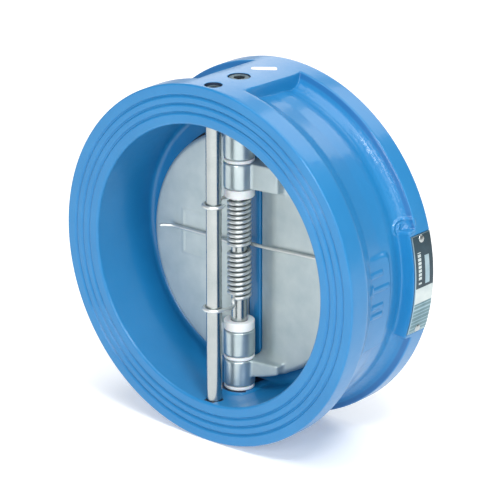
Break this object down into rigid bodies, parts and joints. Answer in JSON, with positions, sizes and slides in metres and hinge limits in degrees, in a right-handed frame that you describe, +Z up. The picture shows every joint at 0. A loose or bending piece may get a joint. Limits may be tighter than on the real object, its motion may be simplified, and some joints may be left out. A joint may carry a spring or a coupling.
{
  "type": "wafer check valve",
  "caption": "Spring-closed dual-plate wafer check valve: two half-disc plates hinged on a central pin in a short ring body that is clamped between pipe flanges.",
  "frame": {"origin": "on the flow axis, midway between the two gasket faces, which is the centre of the whole part's box", "axes": "+Y along the flow axis towards the inlet face (flow runs towards -Y), +Z up along the hinge pin, +X to the right seen from the outlet side, where the nameplate is"},
  "size_m": [0.218, 0.076, 0.218],
  "materials": {
    "epoxy_coated_iron": "glossy fusion-bonded blue epoxy over a ductile iron casting",
    "cast_stainless": "satin cast stainless, machined lugs",
    "turned_stainless": "bright turned and ground stainless",
    "spring_stainless": "drawn stainless spring wire",
    "white_ptfe": "white PTFE",
    "seat_rubber": "black moulded EPDM",
    "plug_steel": "dark socket screw plug",
    "nameplate_metal": "etched aluminium strip, black field over bare metal",
    "label_paper": "white paper label"
  },
  "bodies": {
    "housing": {"body": "epoxy_coated_iron", "seat_seal_right": "seat_rubber", "seat_seal_left": "seat_rubber", "hinge_pin": "turned_stainless", "stop_pin": "turned_stainless", "spring_upper": "spring_stainless", "spring_lower": "spring_stainless", "spring_bearing_upper": "white_ptfe", "spring_bearing_lower": "white_ptfe", "plate_lug_bearing_upper": "white_ptfe", "plate_lug_bearing_lower": "white_ptfe", "body_lug_bearing_upper": "white_ptfe", "body_lug_bearing_lower": "white_ptfe", "hinge_pin_retainer_top": "plug_steel", "hinge_pin_retainer_bottom": "plug_steel", "stop_pin_retainer_top": "plug_steel", "stop_pin_retainer_bottom": "plug_steel", "hinge_pin_seal_top": "seat_rubber", "hinge_pin_seal_bottom": "seat_rubber", "stop_pin_seal_top": "seat_rubber", "stop_pin_seal_bottom": "seat_rubber", "nameplate": "nameplate_metal", "nameplate_rivet_upper": "turned_stainless", "nameplate_rivet_lower": "turned_stainless", "paper_label": "label_paper"},
    "right_plate": {"plate_right": "cast_stainless"},
    "left_plate": {"plate_left": "cast_stainless"}
  },
  "joints": [
    {"name": "right_plate_hinge", "type": "hinge", "parent": "housing", "child": "right_plate", "pos_m": [0, -0.008, 0], "axis": [0, 0, -1], "range_deg": [0, 80.8], "stiffness_Nm_per_rad": 0.25, "springref_deg": -85.94, "deforming": ["spring_upper"]},
    {"name": "left_plate_hinge", "type": "hinge", "parent": "housing", "child": "left_plate", "pos_m": [0, -0.008, 0], "axis": [0, 0, 1], "range_deg": [0, 80.8], "stiffness_Nm_per_rad": 0.25, "springref_deg": -85.94, "deforming": ["spring_lower"]}
  ]
}
